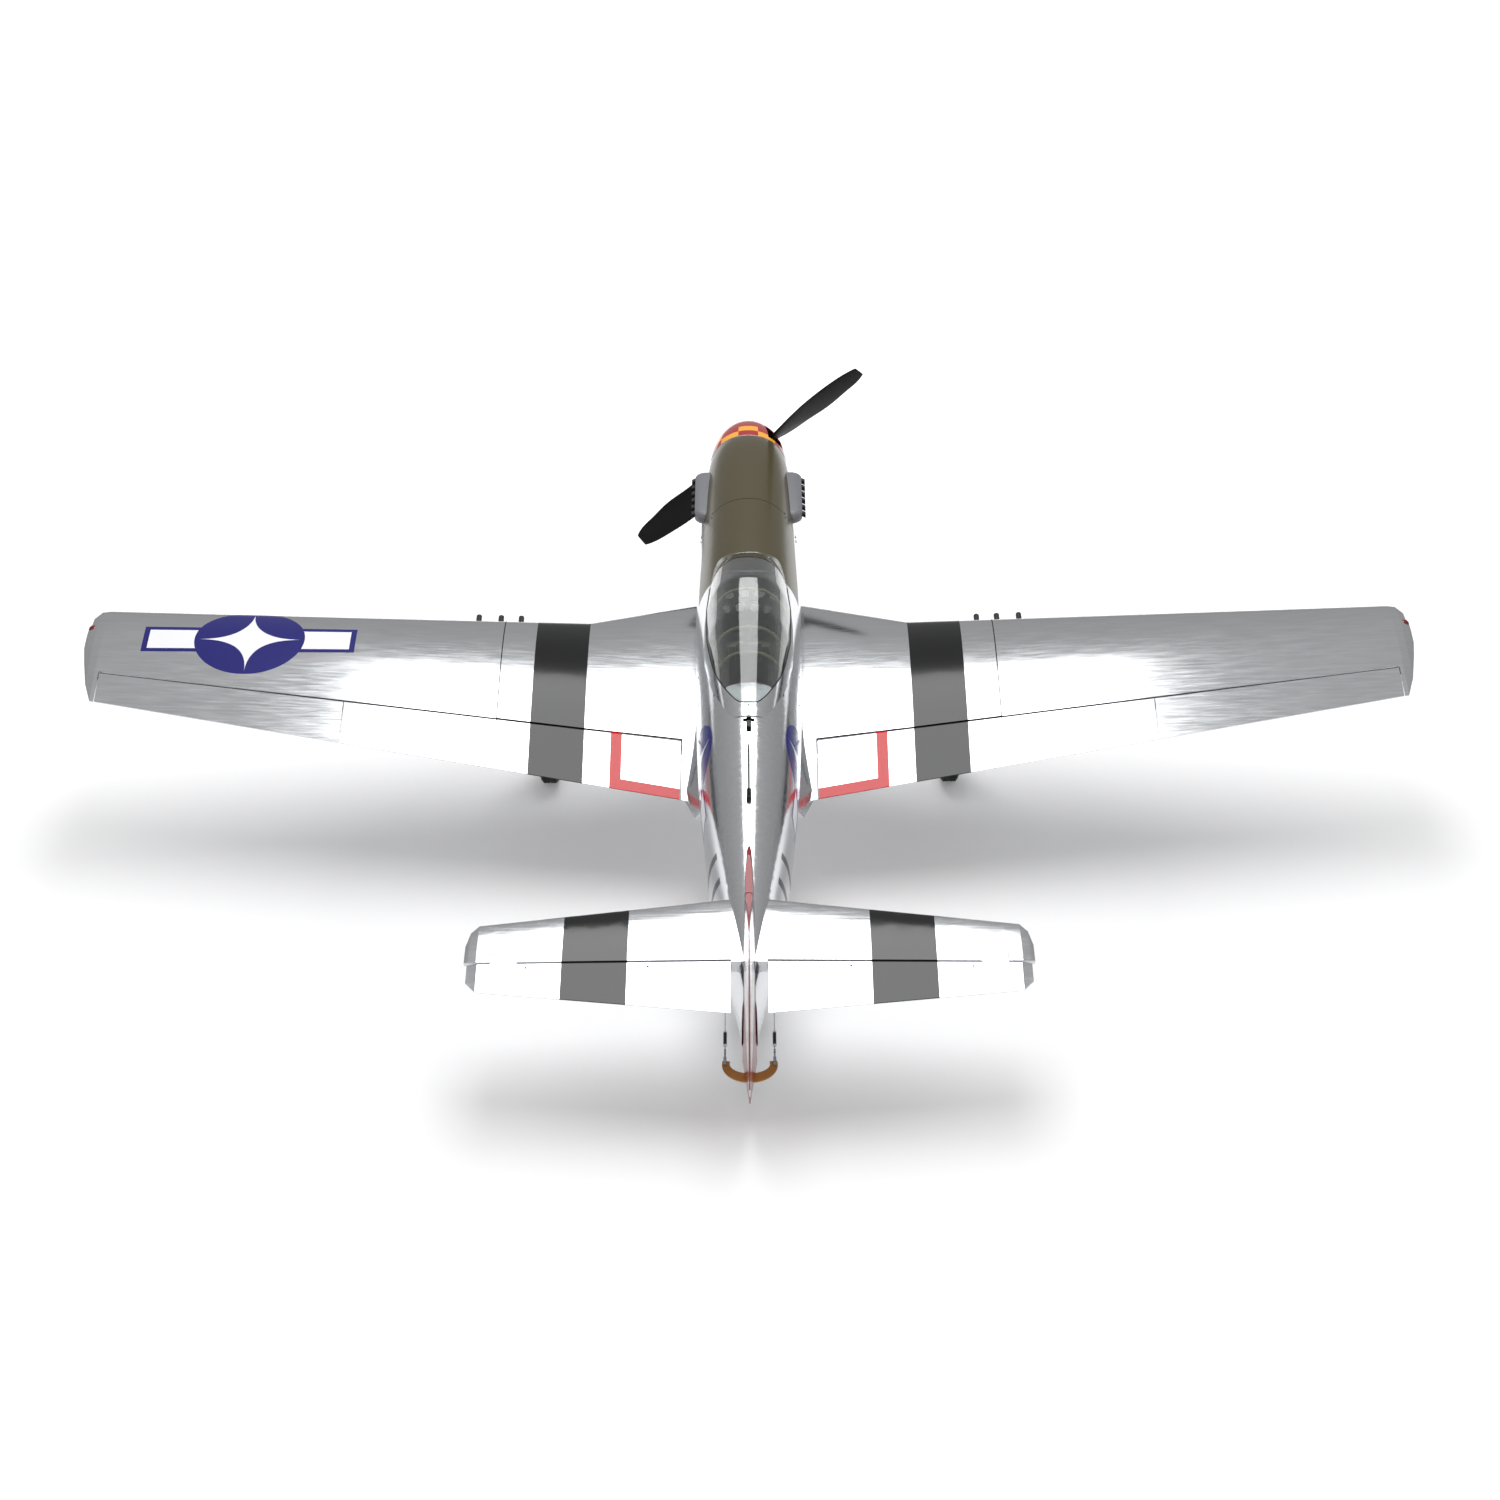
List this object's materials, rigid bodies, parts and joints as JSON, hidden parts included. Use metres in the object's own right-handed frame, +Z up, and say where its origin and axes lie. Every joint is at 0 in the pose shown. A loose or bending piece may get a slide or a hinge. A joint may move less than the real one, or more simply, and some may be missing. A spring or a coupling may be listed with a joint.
{
  "type": "radio control warbird plane",
  "caption": "Low-wing propeller model aircraft with tail-wheel undercarriage, bubble canopy, plug-in outer wings and hinged control surfaces.",
  "frame": {"origin": "centre of the bounding box, on the ground plane under the three wheels", "axes": "+X towards the right wing tip, +Y forward towards the propeller, +Z up; the aircraft stands nose-up on its wheels"},
  "size_m": [2.29, 1.8093, 0.6701],
  "materials": {
    "alloy_tube": "drawn",
    "amber_board": "satin",
    "birch_ply": "sealed",
    "black_panel": "matte",
    "black_pipe": "matte",
    "black_trim": "gloss",
    "cast_alloy": "sandblasted",
    "clear_glass": "clear",
    "cockpit_paint": "matte",
    "grey_fairing": "satin",
    "olive_cowl": "satin",
    "polished_skin": "metallic silver film",
    "red_lamp": "gloss",
    "red_paint": "gloss",
    "servo_case": "moulded",
    "steel": "ground",
    "tyre": "matte",
    "wheel_alloy": "machined"
  },
  "bodies": {
    "airframe": {"antenna_mast": "black_trim", "belly_scoop": "polished_skin", "cockpit_floor": "cockpit_paint", "cockpit_seat": "cockpit_paint", "cowl": "olive_cowl", "engine": "cast_alloy", "exhaust_fairings": "grey_fairing", "exhaust_stacks": "black_pipe", "fin": "polished_skin", "firewall": "birch_ply", "fuselage_shell": "polished_skin", "gear_pins": "steel", "gun_barrels": "black_trim", "instrument_panel": "black_panel", "nav_lights": "red_lamp", "retract_frames": "cast_alloy", "rudder_servo": "servo_case", "servo_tray": "birch_ply", "stabilizer": "polished_skin", "tail_mount": "birch_ply", "windshield_frame": "polished_skin", "windshield_glass": "clear_glass", "wing_center": "polished_skin", "wing_fillets": "polished_skin", "wing_panel_left": "polished_skin", "wing_panel_right": "polished_skin", "wing_tubes": "alloy_tube"},
    "prop_group": {"propeller": "black_trim", "spinner_cone": "red_paint", "spinner_backplate": "cast_alloy", "prop_shaft": "steel"},
    "aileron_body_left": {"aileron_left": "polished_skin"},
    "aileron_body_right": {"aileron_right": "polished_skin"},
    "flap_body_left": {"flap_inner_left": "polished_skin", "flap_outer_left": "polished_skin"},
    "flap_body_right": {"flap_inner_right": "polished_skin", "flap_outer_right": "polished_skin"},
    "elevator_body_left": {"elevator_left": "polished_skin"},
    "elevator_body_right": {"elevator_right": "polished_skin"},
    "rudder_body": {"rudder": "polished_skin", "rudder_horn": "amber_board"},
    "servo_output": {"servo_arm": "servo_case"},
    "cable_body_left": {"pull_cable_left": "steel"},
    "cable_body_right": {"pull_cable_right": "steel"},
    "tail_fork_body": {"tail_fork": "steel"},
    "tail_wheel_body": {"tail_tyre": "tyre", "tail_hub": "wheel_alloy"},
    "leg_body_left": {"gear_leg_left": "cast_alloy", "gear_door_left": "polished_skin"},
    "leg_body_right": {"gear_leg_right": "cast_alloy", "gear_door_right": "polished_skin"},
    "oleo_body_left": {"gear_oleo_left": "cast_alloy"},
    "oleo_body_right": {"gear_oleo_right": "cast_alloy"},
    "main_wheel_body_left": {"main_tyre_left": "tyre", "main_hub_left": "wheel_alloy"},
    "main_wheel_body_right": {"main_tyre_right": "tyre", "main_hub_right": "wheel_alloy"},
    "canopy_body": {"canopy_glass": "clear_glass", "canopy_frame": "polished_skin"},
    "latch_body": {"hatch_latch": "black_trim"}
  },
  "joints": [
    {"name": "prop_spin", "type": "hinge", "parent": "airframe", "child": "prop_group", "pos_m": [0, 0.81574, 0.48378], "axis": [0, 0.9763, 0.2164], "continuous": true},
    {"name": "aileron_right_hinge", "type": "hinge", "parent": "airframe", "child": "aileron_body_right", "pos_m": [0.68815, 0.11958, 0.27969], "axis": [0.9911, 0.0803, 0.1064], "range_deg": [-20, 20]},
    {"name": "aileron_left_hinge", "type": "hinge", "parent": "airframe", "child": "aileron_body_left", "pos_m": [-0.68815, 0.11958, 0.27969], "axis": [0.9911, -0.0803, -0.1064], "range_deg": [-20, 20]},
    {"name": "flap_right_hinge", "type": "hinge", "parent": "airframe", "child": "flap_body_right", "pos_m": [0.116, 0.07321, 0.21825], "axis": [0.9911, 0.0803, 0.1064], "range_deg": [0, 45]},
    {"name": "flap_left_hinge", "type": "hinge", "parent": "airframe", "child": "flap_body_left", "pos_m": [-0.116, 0.07321, 0.21825], "axis": [0.9911, -0.0803, -0.1064], "range_deg": [0, 45]},
    {"name": "elevator_right_hinge", "type": "hinge", "parent": "airframe", "child": "elevator_body_right", "pos_m": [0.05, -0.71082, 0.22217], "axis": [1, 0, 0], "range_deg": [-20, 20]},
    {"name": "elevator_left_hinge", "type": "hinge", "parent": "airframe", "child": "elevator_body_left", "pos_m": [-0.05, -0.71082, 0.22217], "axis": [1, 0, 0], "range_deg": [-20, 20]},
    {"name": "rudder_hinge", "type": "hinge", "parent": "airframe", "child": "rudder_body", "pos_m": [0, -0.78848, 0.23056], "axis": [0, -0.2164, 0.9763], "range_deg": [-22, 22]},
    {"name": "servo_arm_turn", "type": "hinge", "parent": "airframe", "child": "servo_output", "pos_m": [0, -0.38242, 0.16387], "axis": [0, -0.2164, 0.9763], "range_deg": [-22, 22]},
    {"name": "tail_wheel_steer", "type": "hinge", "parent": "airframe", "child": "tail_fork_body", "pos_m": [0, -0.47963, 0.09418], "axis": [0, -0.2164, 0.9763], "range_deg": [-22, 22]},
    {"name": "cable_right_slide", "type": "slide", "parent": "airframe", "child": "cable_body_right", "axis": [0, 0.9763, 0.2164], "range_m": [-0.01451, 0.01451]},
    {"name": "cable_left_slide", "type": "slide", "parent": "airframe", "child": "cable_body_left", "axis": [0, 0.9763, 0.2164], "range_m": [-0.01451, 0.01451]},
    {"name": "tail_wheel_spin", "type": "hinge", "parent": "tail_fork_body", "child": "tail_wheel_body", "pos_m": [0, -0.4996, 0.03175], "axis": [1, 0, 0], "continuous": true},
    {"name": "gear_right_fold", "type": "hinge", "parent": "airframe", "child": "leg_body_right", "pos_m": [0.361, 0.33786, 0.2877], "axis": [0, 0.9763, 0.2164], "range_deg": [0, 84]},
    {"name": "gear_left_fold", "type": "hinge", "parent": "airframe", "child": "leg_body_left", "pos_m": [-0.361, 0.33786, 0.2877], "axis": [0, -0.9763, -0.2164], "range_deg": [0, 84]},
    {"name": "oleo_right_slide", "type": "slide", "parent": "leg_body_right", "child": "oleo_body_right", "axis": [0, -0.3966, 0.918], "range_m": [0, 0.012]},
    {"name": "oleo_left_slide", "type": "slide", "parent": "leg_body_left", "child": "oleo_body_left", "axis": [0, -0.3966, 0.918], "range_m": [0, 0.012]},
    {"name": "main_wheel_right_spin", "type": "hinge", "parent": "oleo_body_right", "child": "main_wheel_body_right", "pos_m": [0.361, 0.43255, 0.0685], "axis": [1, 0, 0], "continuous": true},
    {"name": "main_wheel_left_spin", "type": "hinge", "parent": "oleo_body_left", "child": "main_wheel_body_left", "pos_m": [-0.361, 0.43255, 0.0685], "axis": [1, 0, 0], "continuous": true},
    {"name": "canopy_lift", "type": "slide", "parent": "airframe", "child": "canopy_body", "axis": [0, -0.2164, 0.9763], "range_m": [0, 0.25]},
    {"name": "latch_slide", "type": "slide", "parent": "airframe", "child": "latch_body", "axis": [0, 0.9763, 0.2164], "range_m": [0, 0.004]}
  ],
  "couplings": [
    {"joint": "aileron_left_hinge", "follows": "aileron_right_hinge", "ratio": -1},
    {"joint": "flap_left_hinge", "follows": "flap_right_hinge", "ratio": 1},
    {"joint": "elevator_left_hinge", "follows": "elevator_right_hinge", "ratio": 1},
    {"joint": "servo_arm_turn", "follows": "rudder_hinge", "ratio": 1},
    {"joint": "tail_wheel_steer", "follows": "rudder_hinge", "ratio": 1},
    {"joint": "cable_right_slide", "follows": "rudder_hinge", "m_per_rad": 0.037},
    {"joint": "cable_left_slide", "follows": "rudder_hinge", "m_per_rad": -0.037},
    {"joint": "gear_left_fold", "follows": "gear_right_fold", "ratio": 1}
  ]
}
